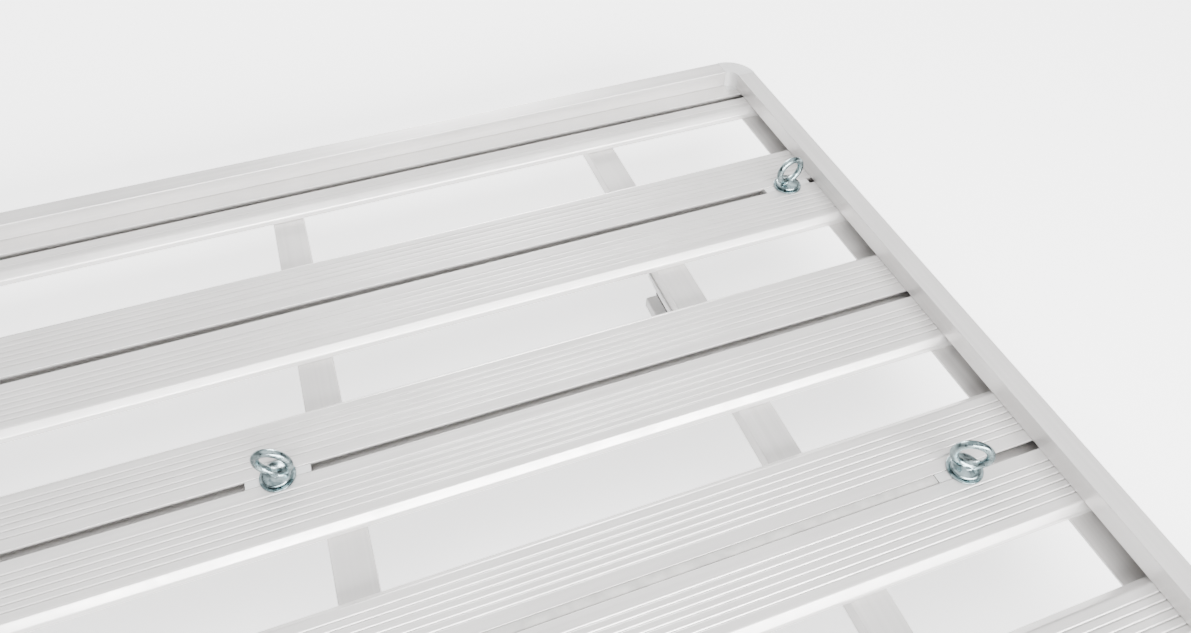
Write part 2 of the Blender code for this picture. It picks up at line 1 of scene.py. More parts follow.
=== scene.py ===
"""Roof cargo tray: the finished look of every piece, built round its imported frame.

Metres, +Z up.  X runs across the vehicle along the planks, Y along the vehicle.
"""
import json
import math

import bmesh
import bpy
from bpy.props import FloatProperty, FloatVectorProperty, IntProperty, PointerProperty
from mathutils import Matrix, Vector


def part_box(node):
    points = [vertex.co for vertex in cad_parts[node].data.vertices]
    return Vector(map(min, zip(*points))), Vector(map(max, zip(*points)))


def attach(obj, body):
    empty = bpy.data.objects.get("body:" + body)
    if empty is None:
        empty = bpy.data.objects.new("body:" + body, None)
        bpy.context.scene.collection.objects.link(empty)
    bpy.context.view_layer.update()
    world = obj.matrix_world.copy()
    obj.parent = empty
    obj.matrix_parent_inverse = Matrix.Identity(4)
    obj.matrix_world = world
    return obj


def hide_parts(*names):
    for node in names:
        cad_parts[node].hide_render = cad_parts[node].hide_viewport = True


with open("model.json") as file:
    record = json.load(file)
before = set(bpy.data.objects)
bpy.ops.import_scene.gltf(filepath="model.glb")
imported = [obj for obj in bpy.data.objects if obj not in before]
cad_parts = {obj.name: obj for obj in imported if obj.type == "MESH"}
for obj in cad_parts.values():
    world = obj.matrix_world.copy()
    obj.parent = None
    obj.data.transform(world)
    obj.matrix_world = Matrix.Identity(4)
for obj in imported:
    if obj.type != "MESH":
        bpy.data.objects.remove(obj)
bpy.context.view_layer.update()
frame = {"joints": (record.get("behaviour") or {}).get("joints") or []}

bl_info = {
    "name": "Roof Cargo Tray",
    "version": (1, 0, 0),
    "blender": (4, 5, 0),
    "location": "3D View > Sidebar > Roof Tray",
    "description": "Builds the pieces and finishes of a slatted aluminium roof tray",
    "category": "Object",
}

# ---- sizes that the frame's boxes don't give --------------------------------

PLANKS = ["plank_%d" % number for number in range(1, 7)]
SIDES = {"left": -1, "right": 1}
ENDS = {"front": -1, "rear": 1}
BEARERS = ("left", "middle", "right")
EYES = ("left", "right", "rear")
FEET = ["%s_%s" % (end, side) for end in ENDS for side in SIDES]
ALL_PLANKS = ["end_plank_front", *PLANKS, "end_plank_rear"]

DECK_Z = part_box("plank_1")[1].z
PLANK_DEPTH = DECK_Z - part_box("plank_1")[0].z
RAIL_TOP_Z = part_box("side_rail_left")[1].z
RAIL_BOTTOM_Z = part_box("side_rail_left")[0].z
OUTER_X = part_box("side_rail_right")[1].x
OUTER_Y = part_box("end_rail_rear")[1].y

GAP = 0.0003                    # between pieces that are fitted together
MERGE_DISTANCE = 0.000001       # vertices closer than this are one

# Plank section
SLOT_HALF = 0.0054              # half the mouth of a T-slot
SLOT_NECK = 0.0030              # depth of the lips beside the mouth
SLOT_CAVITY_HALF = 0.0095
SLOT_FLOOR = -0.013             # from the deck
SECTION_WALL = 0.0022
SKIN = 0.0024                   # thickness of the top
NOSE_RUN = 0.008                # chamfer along a plank's long edges
NOSE_DROP = 0.0085
LIP = 0.010                     # inward lip at the foot of a plank's wall
RIB_AT = 0.042                  # middle of the slot to the stiffening rib
SHARP_RADIUS = 0.0002           # edges that are left almost sharp
GROOVE_LIP_RADIUS = 0.0006
END_PLANK_INNER = 0.0368        # T-slot to the free edge of an end plank
END_PLANK_GROOVES = 1

# Rails and bearers
RAIL_WIDTH = 0.027
RAIL_EDGE_RADIUS = 0.0012       # the castings' edges run on from it
FLANGE = 0.015
FLANGE_THICK = 0.0025
BEARER_WALL = 0.0025
BEARER_MOUTH_HALF = 0.007
CAP_PLATE = 0.003
CAP_OVERLAP = 0.0005            # the plug's root inside the plate
STUD_STRIP_THICK = 0.003
STUD_RADIUS = 0.003
STUD_HOLE_RADIUS = 0.0034
CORNER_SCREW_INSET = 0.022      # past the joint between a rail and a corner

# Tie-down eyes
STEM_RADIUS = 0.0042
WASHER_THICK = 0.0026
EYE_BAR_RADIUS = 0.00425
EYE_RING_RADIUS = 0.01725       # middle of the bar
EYE_TURNS = {"eye_bolt_left": -22.0, "eye_bolt_right": -35.0, "eye_bolt_rear": 10.0}
COLLAR_PROFILE = (              # (radius, height above the washer)
    (0.0, 0.0), (0.0142, 0.0), (0.0152, 0.0005), (0.0158, 0.0015), (0.0157, 0.0026),
    (0.0148, 0.0037), (0.0128, 0.0046), (0.0102, 0.0054), (0.0078, 0.0064), (0.0062, 0.0078),
    (0.0, 0.0084))
FORGING_VOXEL = 0.0005

# Crossbar clamps
BOLT_RADIUS = 0.004
BOLT_OFFSET = 0.045             # each bolt from the middle of its clamp
HOLE_RADIUS = 0.0046
THREAD_PITCH = 0.00125
DRILL_OVERRUN = 0.002           # a drill's reach past each face

# Stage: place, aim, (width, height) and watts of each lamp
WORLD_STRENGTH = 0.3
FLOOR_GLOW = 1.5
FLOOR_HALF = 20.0
FLOOR_Z = -0.0005
LAMPS = {
    "overhead": ((0.5, 3.5, 4.0), (0.5, 3.5, 0.0), (10.0, 10.0), 700.0),
    "fill": ((0.4, -2.9, 1.5), (0.2, 0.1, 0.1), (4.4, 1.4), 850.0),
    "rim": ((1.0, 5.0, 1.3), (0.1, 0.3, 0.1), (1.6, 1.6), 400.0),
}

# Camera: its axes are right, up and back
CAMERA_LENS = 26.85
CAMERA_SHIFT = (0.021, -0.0558)
CAMERA_PLACE = Vector((0.0692, -0.2114, DECK_Z + 0.8034))
CAMERA_AXES = (
    (0.94283, -0.33325, -0.00278),
    (0.23719, 0.66515, 0.70804),
    (-0.23410, -0.66822, 0.70617),
)

X_AXIS = Vector((1.0, 0.0, 0.0))
Y_AXIS = Vector((0.0, 1.0, 0.0))
Z_AXIS = Vector((0.0, 0.0, 1.0))


def middle(node):
    """Centre of a node's box."""
    low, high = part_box(node)
    return (low + high) / 2


def slot_line(node):
    """Y of a plank's T-slot, which on the narrow end planks is off its middle."""
    if node.startswith("plank_"):
        return middle(node).y
    low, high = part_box(node)
    return high.y - END_PLANK_INNER if node.endswith("front") else low.y + END_PLANK_INNER


# ---- settings a user would change ---------------------------------------------


class RoofTraySettings(bpy.types.PropertyGroup):
    """Sizes of the fine detail and the colours of the finishes."""

    groove_count: IntProperty(
        name="Grooves", description="Grip grooves on each half of a full plank",
        default=6, min=0, max=6)
    groove_first: FloatProperty(
        name="First Groove", description="Middle of the T-slot to the first groove",
        default=0.020, unit="LENGTH")
    groove_pitch: FloatProperty(
        name="Groove Pitch", description="Distance between grooves",
        default=0.0078, unit="LENGTH")
    groove_half: FloatProperty(
        name="Groove Half Width", description="Half the width of a groove at the surface",
        default=0.0013, unit="LENGTH")
    groove_depth: FloatProperty(
        name="Groove Depth", description="Depth of a groove", default=0.0011, unit="LENGTH")
    edge_radius: FloatProperty(
        name="Edge Radius", description="Rounding of an extrusion's crisp edges",
        default=0.0005, unit="LENGTH")
    nose_radius: FloatProperty(
        name="Nose Radius", description="Rounding at both ends of a plank's chamfer",
        default=0.0018, unit="LENGTH")
    aluminium_colour: FloatVectorProperty(
        name="Extrusions", description="Colour of the anodised extrusions",
        default=(0.54, 0.527, 0.518), subtype="COLOR", size=3, min=0.0, max=1.0)
    casting_colour: FloatVectorProperty(
        name="Castings", description="Colour of the blasted castings",
        default=(0.58, 0.578, 0.575), subtype="COLOR", size=3, min=0.0, max=1.0)
    zinc_colour: FloatVectorProperty(
        name="Zinc Plate", description="Colour of the plated eye bolts and washers",
        default=(0.17, 0.235, 0.25), subtype="COLOR", size=3, min=0.0, max=1.0)
    steel_colour: FloatVectorProperty(
        name="Stainless", description="Colour of screws, studs and clamp bolts",
        default=(0.56, 0.56, 0.57), subtype="COLOR", size=3, min=0.0, max=1.0)
    floor_colour: FloatVectorProperty(
        name="Floor", description="Colour of the floor",
        default=(0.95, 0.95, 0.95), subtype="COLOR", size=3, min=0.0, max=1.0)


# ---- materials ----------------------------------------------------------------


class Finish:
    """A Principled material with a few nodes for its surface detail."""

    def __init__(self, name, colour, roughness, metallic):
        self.material = bpy.data.materials.new(name + "_finish")
        self.material.use_nodes = True
        self.tree = self.material.node_tree
        self.shader = self.tree.nodes["Principled BSDF"]
        self.shader.inputs["Base Color"].default_value = (*colour, 1.0)
        self.shader.inputs["Roughness"].default_value = roughness
        self.shader.inputs["Metallic"].default_value = metallic
        self.material.diffuse_color = (*colour, 1.0)
        self.coordinates = self.tree.nodes.new("ShaderNodeTexCoord")
        self.bump_normal = None

    def link(self, output, target):
        self.tree.links.new(output, target)

    def noise(self, scale, detail=3.0, stretch=(1.0, 1.0, 1.0), distortion=0.0):
        """A noise pattern on the piece's own coordinates, stretched per axis."""
        mapping = self.tree.nodes.new("ShaderNodeMapping")
        mapping.inputs["Scale"].default_value = stretch
        self.link(self.coordinates.outputs["Object"], mapping.inputs["Vector"])
        pattern = self.tree.nodes.new("ShaderNodeTexNoise")
        pattern.inputs["Scale"].default_value = scale
        pattern.inputs["Detail"].default_value = detail
        pattern.inputs["Distortion"].default_value = distortion
        self.link(mapping.outputs["Vector"], pattern.inputs["Vector"])
        return pattern.outputs["Fac"]

    def remap(self, value, low, high, out_low, out_high):
        """Stretch a pattern's range to another range."""
        node = self.tree.nodes.new("ShaderNodeMapRange")
        node.inputs["From Min"].default_value = low
        node.inputs["From Max"].default_value = high
        node.inputs["To Min"].default_value = out_low
        node.inputs["To Max"].default_value = out_high
        self.link(value, node.inputs["Value"])
        return node.outputs["Result"]

    def add(self, first, second):
        node = self.tree.nodes.new("ShaderNodeMath")
        node.operation = "ADD"
        self.link(first, node.inputs[0])
        self.link(second, node.inputs[1])
        return node.outputs["Value"]

    def colour_between(self, value, dark, light):
        """Blend two colours by a pattern into the base colour."""
        node = self.tree.nodes.new("ShaderNodeMix")
        node.data_type = "RGBA"
        node.inputs["A"].default_value = (*dark, 1.0)
        node.inputs["B"].default_value = (*light, 1.0)
        self.link(value, node.inputs["Factor"])
        self.link(node.outputs["Result"], self.shader.inputs["Base Color"])

    def roughness_from(self, value):
        self.link(value, self.shader.inputs["Roughness"])

    def bump(self, height, distance, strength=1.0):
        """Stack a bump on those already there."""
        node = self.tree.nodes.new("ShaderNodeBump")
        node.inputs["Strength"].default_value = strength
        node.inputs["Distance"].default_value = distance
        self.link(height, node.inputs["Height"])
        if self.bump_normal is not None:
            self.link(self.bump_normal, node.inputs["Normal"])
        self.bump_normal = node.outputs["Normal"]
        self.link(self.bump_normal, self.shader.inputs["Normal"])


def shade(colour, factor):
    """A colour made darker or lighter."""
    return tuple(min(1.0, channel * factor) for channel in colour)


def extruded_finish(name, colour, along):
    """Clear-anodised extrusion: die lines along its length, faint handling marks."""
    made = Finish(name, colour, 0.36, 0.55)
    fine = [1.0, 1.0, 1.0]
    coarse = [1.0, 1.0, 1.0]
    fine["XYZ".index(along)] = 0.0016
    coarse["XYZ".index(along)] = 0.012
    lines = made.noise(1500.0, 2.0, fine)
    bands = made.noise(220.0, 3.0, coarse)
    cloud = made.noise(9.0, 4.0)
    smudge = made.noise(46.0, 5.0, distortion=0.6)
    tone = made.add(made.remap(cloud, 0.3, 0.7, 0.0, 0.4), made.remap(bands, 0.3, 0.7, 0.0, 0.6))
    made.colour_between(tone, shade(colour, 0.9), shade(colour, 1.08))
    streaks = made.remap(bands, 0.3, 0.7, 0.30, 0.42)
    marks = made.remap(smudge, 0.45, 0.75, 0.0, 0.09)
    made.roughness_from(made.add(streaks, marks))
    made.bump(lines, 0.00002, 0.55)
    made.bump(bands, 0.00003, 0.35)
    return made.material


def cast_finish(name, colour):
    """Fine blasted casting with soft colour clouding."""
    made = Finish(name, colour, 0.52, 0.6)
    grain = made.noise(2600.0, 2.0)
    cloud = made.noise(38.0, 4.0)
    tone = made.remap(cloud, 0.3, 0.7, 0.0, 1.0)
    made.colour_between(tone, shade(colour, 0.93), shade(colour, 1.03))
    made.roughness_from(made.remap(cloud, 0.3, 0.7, 0.44, 0.6))
    made.bump(grain, 0.00005, 0.6)
    return made.material


def zinc_finish(name, colour):
    """Bright zinc on a forging: cloudy blue-grey plating over a hammered skin, whose pale patches
    are painted highlights and whose darker patches are painted shade.
    """
    made = Finish(name, colour, 0.3, 1.0)
    cloud = made.noise(110.0, 5.0, distortion=0.8)
    skin = made.noise(260.0, 2.0)
    pits = made.noise(2400.0, 2.0)
    # random plating tint: the pale copy stands in for painted highlights, the darker copy for
    # painted shade
    pale_tint_and_highlight = (colour[0] * 2.0, colour[1] * 1.8, colour[2] * 1.75)
    made.colour_between(made.remap(cloud, 0.36, 0.66, 0.0, 1.0), shade(colour, 0.62), pale_tint_and_highlight)
    made.roughness_from(made.remap(cloud, 0.3, 0.7, 0.2, 0.38))
    made.bump(skin, 0.0003, 0.4)
    made.bump(pits, 0.00004, 0.4)
    return made.material


def stainless_finish(name, colour):
    """Turned and rolled stainless steel."""
    made = Finish(name, colour, 0.3, 1.0)
    rings = made.noise(1800.0, 2.0, (0.2, 0.2, 1.0))
    cloud = made.noise(90.0, 4.0)
    tone = made.remap(cloud, 0.3, 0.7, 0.0, 1.0)
    made.colour_between(tone, shade(colour, 0.9), shade(colour, 1.08))
    made.roughness_from(made.remap(cloud, 0.3, 0.7, 0.24, 0.38))
    made.bump(rings, 0.00002, 0.5)
    return made.material


def moulded_finish(name, colour, grain_scale, roughness):
    """Spark-textured plastic or rubber."""
    made = Finish(name, colour, roughness, 0.0)
    grain = made.noise(grain_scale, 2.0)
    cloud = made.noise(60.0, 4.0)
    tone = made.remap(cloud, 0.3, 0.7, 0.0, 1.0)
    made.colour_between(tone, shade(colour, 0.85), shade(colour, 1.2))
    made.roughness_from(made.remap(cloud, 0.3, 0.7, roughness - 0.07, roughness + 0.07))
    made.bump(grain, 0.00006, 0.7)
    return made.material


FINISHED = {}                   # materials made so far


def finish_named(name):
    """The material for a finish, made the first time it is asked for."""
    if name in FINISHED:
        return FINISHED[name]
    tray = bpy.context.scene.roof_tray
    makers = {
        "aluminium_across": lambda: extruded_finish(name, tray.aluminium_colour, "X"),
        "aluminium_lengthwise": lambda: extruded_finish(name, tray.aluminium_colour, "Y"),
        "cast_aluminium": lambda: cast_finish(name, tray.casting_colour),
        "zinc_plate": lambda: zinc_finish(name, tray.zinc_colour),
        "stainless": lambda: stainless_finish(name, tray.steel_colour),
        "black_plastic": lambda: moulded_finish(name, (0.03, 0.03, 0.031), 2200.0, 0.55),
        "black_rubber": lambda: moulded_finish(name, (0.022, 0.022, 0.022), 1500.0, 0.8),
        "grey_infill": lambda: moulded_finish(name, (0.36, 0.352, 0.34), 1800.0, 0.62),
    }
    FINISHED[name] = makers[name]()
    return FINISHED[name]


# ---- modelling helpers -----------------------------------------------------------


def piece(name, work, finish, body, replaces=(), sharp=35.0):
    """Turn finished bmesh work into a piece that rides on a body."""
    bmesh.ops.recalc_face_normals(work, faces=work.faces)
    mesh = bpy.data.meshes.new(name)
    work.to_mesh(mesh)
    work.free()
    mesh.materials.append(finish_named(finish))
    mesh.shade_smooth()
    mesh.set_sharp_from_angle(angle=math.radians(sharp))
    made = bpy.data.objects.new(name, mesh)
    bpy.context.scene.collection.objects.link(made)
    weighted = made.modifiers.new("even_shading", "WEIGHTED_NORMAL")
    weighted.keep_sharp = True
    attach(made, body)
    if replaces:
        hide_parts(*replaces)
    return made


def evaluated_copy(name, source):
    """The evaluated mesh of an object as new bmesh work; the object is removed."""
    bpy.context.view_layer.update()
    evaluated = source.evaluated_get(bpy.context.evaluated_depsgraph_get())
    mesh = bpy.data.meshes.new_from_object(evaluated)
    work = bmesh.new()
    work.from_mesh(mesh)
    bpy.data.meshes.remove(mesh)
    bpy.data.objects.remove(source, do_unlink=True)
    return work


def temporary(name, work):
    """A short-lived object that holds a modifier."""
    mesh = bpy.data.meshes.new(name)
    work.to_mesh(mesh)
    work.free()
    made = bpy.data.objects.new(name, mesh)
    bpy.context.scene.collection.objects.link(made)
    return made


def bored(work, cutter_work):
    """Cut one piece of work with another."""
    bmesh.ops.recalc_face_normals(work, faces=work.faces)
    bmesh.ops.recalc_face_normals(cutter_work, faces=cutter_work.faces)
    target = temporary("work_piece", work)
    cutter = temporary("cutting_tool", cutter_work)
    change = target.modifiers.new("bore", "BOOLEAN")
    change.operation = "DIFFERENCE"
    change.solver = "EXACT"
    change.object = cutter
    result = evaluated_copy("bored", target)
    bpy.data.objects.remove(cutter, do_unlink=True)
    return result


def round_corners(work, corners, segments=3):
    """Round the corners of a flat outline; corners maps a radius to its vertices."""
    for radius in sorted(corners, reverse=True):
        if radius <= 0.0:
            continue
        bmesh.ops.bevel(
            work, geom=corners[radius], offset=radius, offset_type="OFFSET", segments=segments,
            profile=0.5, affect="VERTICES", clamp_overlap=True, material=-1)


def outline_face(work, points, place, segments=3):
    """A flat face through (across, up, radius) points, its corners rounded."""
    corners = {}
    verts = []
    for across, up, radius in points:
        vert = work.verts.new(place(across, up))
        verts.append(vert)
        corners.setdefault(radius, []).append(vert)
    work.faces.new(verts)
    round_corners(work, corners, segments)


def extrude_outline(points, place, shift, segments=3):
    """Extrude a rounded outline along a vector into a closed solid."""
    work = bmesh.new()
    outline_face(work, points, place, segments)
    moved = bmesh.ops.extrude_face_region(work, geom=list(work.faces))
    verts = [part for part in moved["geom"] if isinstance(part, bmesh.types.BMVert)]
    bmesh.ops.translate(work, verts=verts, vec=shift)
    return work


def extrude_hollow(outer, hollow, place, shift, segments=3):
    """Extrude an outline with a hole through it, closed at both ends."""
    work = bmesh.new()
    outline_face(work, outer, place, segments)
    outline_face(work, hollow, place, segments)
    bmesh.ops.delete(work, geom=list(work.faces), context="FACES_ONLY")
    near = list(work.edges)
    moved = bmesh.ops.extrude_edge_only(work, edges=near)
    verts = [part for part in moved["geom"] if isinstance(part, bmesh.types.BMVert)]
    far = [part for part in moved["geom"] if isinstance(part, bmesh.types.BMEdge)]
    bmesh.ops.translate(work, verts=verts, vec=shift)
    bmesh.ops.triangle_fill(work, edges=near, use_beauty=True)
    bmesh.ops.triangle_fill(work, edges=far, use_beauty=True)
    return work


def across_section(start_x, y, z):
    """Place a section whose plane faces along X."""
    return lambda across, up: Vector((start_x, y + across, z + up))


def lengthwise_section(x, start_y, z, flip=1):
    """Place a section whose plane faces along Y."""
    return lambda across, up: Vector((x + flip * across, start_y, z + up))


def plan_section(x, y, start_z, flip_x=1, flip_y=1):
    """Place an outline seen from above."""
    return lambda across, up: Vector((x + flip_x * across, y + flip_y * up, start_z))


def rounded_box(low, high, radius, segments=2):
    """A box between two corners with all its edges rounded."""
    low = Vector(low)
    high = Vector(high)
    work = bmesh.new()
    size = Matrix.Diagonal((*(high - low), 1.0))
    bmesh.ops.create_cube(work, size=1.0, matrix=Matrix.Translation((low + high) / 2) @ size)
    bmesh.ops.bevel(
        work, geom=list(work.edges), offset=radius, offset_type="OFFSET", segments=segments,
        profile=0.5, affect="EDGES", clamp_overlap=True, material=-1)
    return work


def cylinder(centre, radius, low, high, sides=32, axis=Z_AXIS):
    """A capped cylinder along an axis, from low to high measured from the centre."""
    work = bmesh.new()
    turn = Z_AXIS.rotation_difference(axis).to_matrix().to_4x4()
    place = Matrix.Translation(Vector(centre) + axis * (low + high) / 2)
    bmesh.ops.create_cone(
        work, cap_ends=True, segments=sides, radius1=radius, radius2=radius,
        depth=high - low, matrix=place @ turn)
    return work


def turned(profile, centre, axis=Z_AXIS, steps=48):
    """Spin a profile of (radius, height) points about an axis; its ends lie on the axis."""
    work = bmesh.new()
    verts = [work.verts.new((radius, 0.0, height)) for radius, height in profile]
    edges = [work.edges.new(pair) for pair in zip(verts, verts[1:])]
    bmesh.ops.spin(
        work, geom=verts + edges, cent=(0, 0, 0), axis=(0, 0, 1), angle=2 * math.pi,
        steps=steps, use_merge=True)
    bmesh.ops.remove_doubles(work, verts=work.verts, dist=MERGE_DISTANCE)
    turn = Z_AXIS.rotation_difference(axis).to_matrix().to_4x4()
    bmesh.ops.transform(work, verts=work.verts, matrix=Matrix.Translation(centre) @ turn)
    return work


def together(works):
    """Join several pieces of bmesh work into one."""
    whole = bmesh.new()
    for work in works:
        mesh = bpy.data.meshes.new("part")
        work.to_mesh(mesh)
        work.free()
        whole.from_mesh(mesh)
        bpy.data.meshes.remove(mesh)
    return whole


# ---- planks -----------------------------------------------------------------------


def groove_points(tray, count):
    """Shallow V-grooves across the top, from the slot outwards."""
    points = []
    half = tray.groove_half
    for index in range(count):
        at = tray.groove_first + tray.groove_pitch * index
        points += [(at - half, 0.0, GROOVE_LIP_RADIUS), (at, -tray.groove_depth, SHARP_RADIUS),
                   (at + half, 0.0, GROOVE_LIP_RADIUS)]
    return points


def nose_side(tray, half, grooves, ribbed):
    """Section from the slot mouth over the grooves and nose and back under the skin."""
    edge = tray.edge_radius
    nose = tray.nose_radius
    wall = half - SECTION_WALL
    channel = SLOT_CAVITY_HALF + SECTION_WALL
    points = [(SLOT_HALF, 0.0, edge)] + groove_points(tray, grooves)
    points += [
        (half - NOSE_RUN, 0.0, nose),
        (half, -NOSE_DROP, nose),
        (half, -PLANK_DEPTH, edge),
        (half - LIP, -PLANK_DEPTH, edge),
        (half - LIP, -PLANK_DEPTH + SECTION_WALL, edge),
        (wall, -PLANK_DEPTH + SECTION_WALL, edge),
        (wall, -NOSE_DROP - SKIN / 2, edge),
        (half - NOSE_RUN - SKIN / 2, -SKIN, edge),
    ]
    if ribbed:
        rib = SECTION_WALL / 2
        points += [
            (RIB_AT + rib, -SKIN, edge), (RIB_AT + rib, -PLANK_DEPTH, edge),
            (RIB_AT - rib, -PLANK_DEPTH, edge), (RIB_AT - rib, -SKIN, edge)]
    return points + [(channel, -SKIN, edge), (channel, -PLANK_DEPTH, edge)]


def tucked_side(tray, reach):
    """The half of an end plank that runs under the end rail."""
    edge = tray.edge_radius
    channel = SLOT_CAVITY_HALF + SECTION_WALL
    return [
        (SLOT_HALF, 0.0, edge), (reach, 0.0, edge), (reach, -PLANK_DEPTH, edge),
        (reach - SECTION_WALL, -PLANK_DEPTH, edge), (reach - SECTION_WALL, -SKIN, edge),
        (channel, -SKIN, edge), (channel, -PLANK_DEPTH, edge)]


def plank_section(tray, right, left):
    """The whole outline: a half on each side, joined by the walls of the T-slot."""
    edge = tray.edge_radius
    slot = [(SLOT_HALF, -SLOT_NECK, SHARP_RADIUS), (SLOT_CAVITY_HALF, -SLOT_NECK, edge),
            (SLOT_CAVITY_HALF, SLOT_FLOOR, edge)]
    mirrored = [(-across, up, radius) for across, up, radius in reversed(left)]
    walls = [(-across, up, radius) for across, up, radius in slot] + list(reversed(slot))
    return right + mirrored + walls


def stud_holes(node):
    """Cutters for the holes in the floor of a plank's T-slot."""
    y = slot_line(node)
    z = DECK_Z + SLOT_FLOOR
    return together([
        cylinder((middle("bearer_" + name).x, y, z), STUD_HOLE_RADIUS, -0.006, DRILL_OVERRUN, 24)
        for name in BEARERS])


def build_plank(tray, node, right, left):
    """Extrude a plank's section along its box and drill it for the studs."""
    low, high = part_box(node)
    place = across_section(low.x, slot_line(node), DECK_Z)
    work = extrude_outline(plank_section(tray, right, left), place, X_AXIS * (high.x - low.x))
    return bored(work, stud_holes(node))


# ---- operators -----------------------------------------------------------------------


class ROOFTRAY_OT_planks(bpy.types.Operator):
    """Build the six full-width slotted planks"""

    bl_idname = "rooftray.planks"
    bl_label = "Planks"

    def execute(self, context):
        tray = context.scene.roof_tray
        half = (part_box("plank_1")[1].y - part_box("plank_1")[0].y) / 2
        side = nose_side(tray, half, tray.groove_count, True)
        for node in PLANKS:
            piece("slotted_" + node, build_plank(tray, node, side, side),
                  "aluminium_across", "tray", [node])
        return {"FINISHED"}


class ROOFTRAY_OT_end_planks(bpy.types.Operator):
    """Build the narrow slotted plank beside each end rail"""

    bl_idname = "rooftray.end_planks"
    bl_label = "End Planks"

    def execute(self, context):
        tray = context.scene.roof_tray
        for end, sign in ENDS.items():
            node = "end_plank_" + end
            low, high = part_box(node)
            line = slot_line(node)
            reach = high.y - line if sign > 0 else line - low.y
            inner = nose_side(tray, END_PLANK_INNER, END_PLANK_GROOVES, False)
            outer = tucked_side(tray, reach)
            sides = (outer, inner) if sign > 0 else (inner, outer)
            work = bored(build_plank(tray, node, *sides), self.corner_notches(sign))
            piece("slotted_" + node, work, "aluminium_across", "tray", [node])
        return {"FINISHED"}

    @staticmethod
    def corner_notches(sign):
        """Room for the cast corners' toes at both ends of an end plank."""
        inner_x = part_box("end_rail_rear")[1].x
        inner_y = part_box("side_rail_right")[1].y
        past = 0.01
        tools = []
        for side in SIDES.values():
            xs = sorted((side * inner_x, side * (OUTER_X + past)))
            ys = sorted((sign * inner_y, sign * (OUTER_Y + past)))
            box = bmesh.new()
            size = Matrix.Diagonal((xs[1] - xs[0], ys[1] - ys[0], 0.1, 1.0))
            spot = Matrix.Translation((sum(xs) / 2, sum(ys) / 2, DECK_Z))
            bmesh.ops.create_cube(box, size=1.0, matrix=spot @ size)
            tools.append(box)
        return together(tools)


def rail_outlines(tray):
    """The rail's section: hollow box above, outer web and lower flange."""
    edge = RAIL_EDGE_RADIUS
    inner = tray.edge_radius
    under = DECK_Z + GAP
    flange_top = RAIL_BOTTOM_Z + FLANGE_THICK
    width = RAIL_WIDTH
    outer = [
        (0.0, under, inner), (0.0, RAIL_TOP_Z, edge), (width, RAIL_TOP_Z, edge),
        (width, RAIL_BOTTOM_Z, edge), (-FLANGE, RAIL_BOTTOM_Z, inner),
        (-FLANGE, flange_top, inner),
        (width - SECTION_WALL, flange_top, inner), (width - SECTION_WALL, under, inner)]
    low = under + SECTION_WALL
    high = RAIL_TOP_Z - SECTION_WALL
    far = width - SECTION_WALL
    hollow = [(SECTION_WALL, low, inner), (far, low, inner), (far, high, inner),
              (SECTION_WALL, high, inner)]
    return outer, hollow


class ROOFTRAY_OT_rails(bpy.types.Operator):
    """Build the side rails and end rails"""

    bl_idname = "rooftray.rails"
    bl_label = "Perimeter Rails"

    def execute(self, context):
        outer, hollow = rail_outlines(context.scene.roof_tray)
        for side, sign in SIDES.items():
            node = "side_rail_" + side
            low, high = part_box(node)
            place = lengthwise_section(sign * (OUTER_X - RAIL_WIDTH), low.y, 0.0, sign)
            work = extrude_hollow(outer, hollow, place, Y_AXIS * (high.y - low.y))
            piece("folded_" + node, work, "aluminium_lengthwise", "tray", [node])
        for end, sign in ENDS.items():
            node = "end_rail_" + end
            low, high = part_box(node)
            inner_y = sign * (OUTER_Y - RAIL_WIDTH)

            def place(across, up, start=low.x, y=inner_y, flip=sign):
                return Vector((start, y + flip * across, up))

            work = extrude_hollow(outer, hollow, place, X_AXIS * (high.x - low.x))
            piece("folded_" + node, work, "aluminium_across", "tray", [node])
        return {"FINISHED"}


class ROOFTRAY_OT_corners(bpy.types.Operator):
    """Build the four cast corners"""

    bl_idname = "rooftray.corners"
    bl_label = "Cast Corners"

    def execute(self, context):
        reach = RAIL_WIDTH + FLANGE
        outside = reach * 0.999     # a little short of the corner, so that arcs don't meet
        inside = FLANGE * 0.999
        for end, sign_y in ENDS.items():
            for side, sign_x in SIDES.items():
                node = "corner_%s_%s" % (end, side)
                start_x = sign_x * (OUTER_X - reach)
                start_y = sign_y * (OUTER_Y - reach)
                bend = [(0.0, reach, 0.0), (reach, reach, outside), (reach, 0.0, 0.0),
                        (FLANGE, 0.0, 0.0), (FLANGE, FLANGE, inside), (0.0, FLANGE, 0.0)]
                place = plan_section(start_x, start_y, DECK_Z, sign_x, sign_y)
                upper = extrude_outline(bend, place, Z_AXIS * (RAIL_TOP_Z - DECK_Z), 14)
                self.soften_top(upper)
                toe = [(0.0, 0.0, 0.0), (reach, 0.0, 0.0), (reach, reach, outside),
                       (0.0, reach, 0.0)]
                place = plan_section(start_x, start_y, RAIL_BOTTOM_Z, sign_x, sign_y)
                lower = extrude_outline(toe, place, Z_AXIS * (DECK_Z - RAIL_BOTTOM_Z), 14)
                piece("cast_" + node, together([upper, lower]),
                      "cast_aluminium", "tray", [node])
        return {"FINISHED"}

    @staticmethod
    def soften_top(work):
        """Round the top edges to run on from the rails' edges."""
        rim = [edge for edge in work.edges
               if all(abs(vert.co.z - RAIL_TOP_Z) < MERGE_DISTANCE for vert in edge.verts)
               and edge.calc_face_angle(0.0) > 1.0
               and abs(edge.verts[0].co.x - edge.verts[1].co.x) > MERGE_DISTANCE
               and abs(edge.verts[0].co.y - edge.verts[1].co.y) > MERGE_DISTANCE]
        bmesh.ops.bevel(
            work, geom=rim, offset=RAIL_EDGE_RADIUS, offset_type="OFFSET", segments=3, profile=0.5,
            affect="EDGES", clamp_overlap=True, material=-1)


